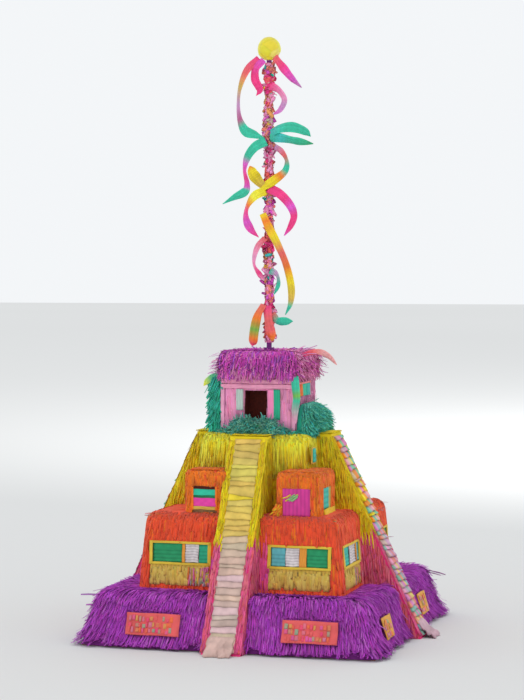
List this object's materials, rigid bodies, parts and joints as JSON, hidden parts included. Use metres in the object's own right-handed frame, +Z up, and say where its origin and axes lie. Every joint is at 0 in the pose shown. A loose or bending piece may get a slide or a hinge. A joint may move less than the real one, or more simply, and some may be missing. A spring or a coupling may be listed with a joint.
{
  "type": "pinata",
  "caption": "Stepped-pyramid pinata of fringed paper on cardboard, with stairs, houses, a temple, a ribbon mast that lifts out and a filling flap at the rear.",
  "frame": {"origin": "on the floor, at the middle of the square base", "axes": "+Z up along the mast, front face with the temple doorway towards -Y"},
  "size_m": [0.506, 0.506, 0.9355],
  "materials": {
    "cardboard": "matte",
    "purple_paper": "matte",
    "red_orange_paper": "matte",
    "yellow_paper": "matte",
    "orange_paper": "matte",
    "pink_paper": "matte",
    "magenta_paper": "matte",
    "ramp_paper": "matte",
    "step_paper": "matte",
    "teal_paper": "matte",
    "green_paper": "matte",
    "ochre_paper": "matte",
    "white_paper": "matte",
    "dark_red_paper": "matte",
    "panel_paper": "matte",
    "door_paper": "matte",
    "streamer_paper": "satin",
    "ball_paper": "gloss",
    "mast_paper": "matte",
    "dowel": "satin",
    "paper_tape": "satin"
  },
  "bodies": {
    "pyramid": {"base_deck": "cardboard", "base_floor": "cardboard", "base_fringe": "purple_paper", "base_plaques": "panel_paper", "base_walls": "cardboard", "doorway_lining": "dark_red_paper", "doorway_strips": "white_paper", "flap_hinge_tape": "paper_tape", "front_left_house": "cardboard", "front_right_house": "cardboard", "front_stair_board": "ramp_paper", "front_stair_cheeks": "ramp_paper", "front_stair_steps": "step_paper", "house_doors": "door_paper", "house_fringe": "orange_paper", "house_side_windows": "teal_paper", "house_windows": "green_paper", "left_stair_board": "ramp_paper", "left_stair_cheeks": "ramp_paper", "left_stair_steps": "step_paper", "mast_socket": "cardboard", "middle_deck": "cardboard", "middle_fringe": "red_orange_paper", "middle_walls": "cardboard", "rear_left_house": "cardboard", "rear_right_house": "cardboard", "rear_stair_board": "ramp_paper", "rear_stair_cheeks": "ramp_paper", "rear_stair_steps": "step_paper", "right_stair_board": "ramp_paper", "right_stair_cheeks": "ramp_paper", "right_stair_steps": "step_paper", "roof_fringe": "magenta_paper", "roof_top_paper": "magenta_paper", "temple_front_bushes": "teal_paper", "temple_left_bush": "teal_paper", "temple_right_bush": "teal_paper", "temple_roof": "cardboard", "temple_walls": "cardboard", "upper_deck": "cardboard", "upper_fringe": "yellow_paper", "upper_walls": "cardboard", "upper_windows": "teal_paper", "window_aprons": "ochre_paper", "window_blinds": "white_paper", "window_frames": "ochre_paper", "window_posts": "orange_paper", "window_shutters": "green_paper"},
    "flap": {"fill_flap": "cardboard", "flap_fringe": "red_orange_paper", "flap_pull_tab": "yellow_paper"},
    "mast": {"mast_rod": "dowel", "mast_wrap": "mast_paper", "mast_ball": "ball_paper", "top_streamers": "streamer_paper", "bow_streamers": "streamer_paper", "leaf_streamers": "streamer_paper", "middle_streamers": "streamer_paper", "foot_streamers": "streamer_paper"}
  },
  "joints": [
    {"name": "flap_hinge", "type": "hinge", "parent": "pyramid", "child": "flap", "pos_m": [0.095, 0.1498, 0.171], "axis": [1, 0, 0], "range_deg": [0, 90]},
    {"name": "mast_slide", "type": "slide", "parent": "pyramid", "child": "mast", "axis": [0, 0, 1], "range_m": [0, 0.14]}
  ]
}
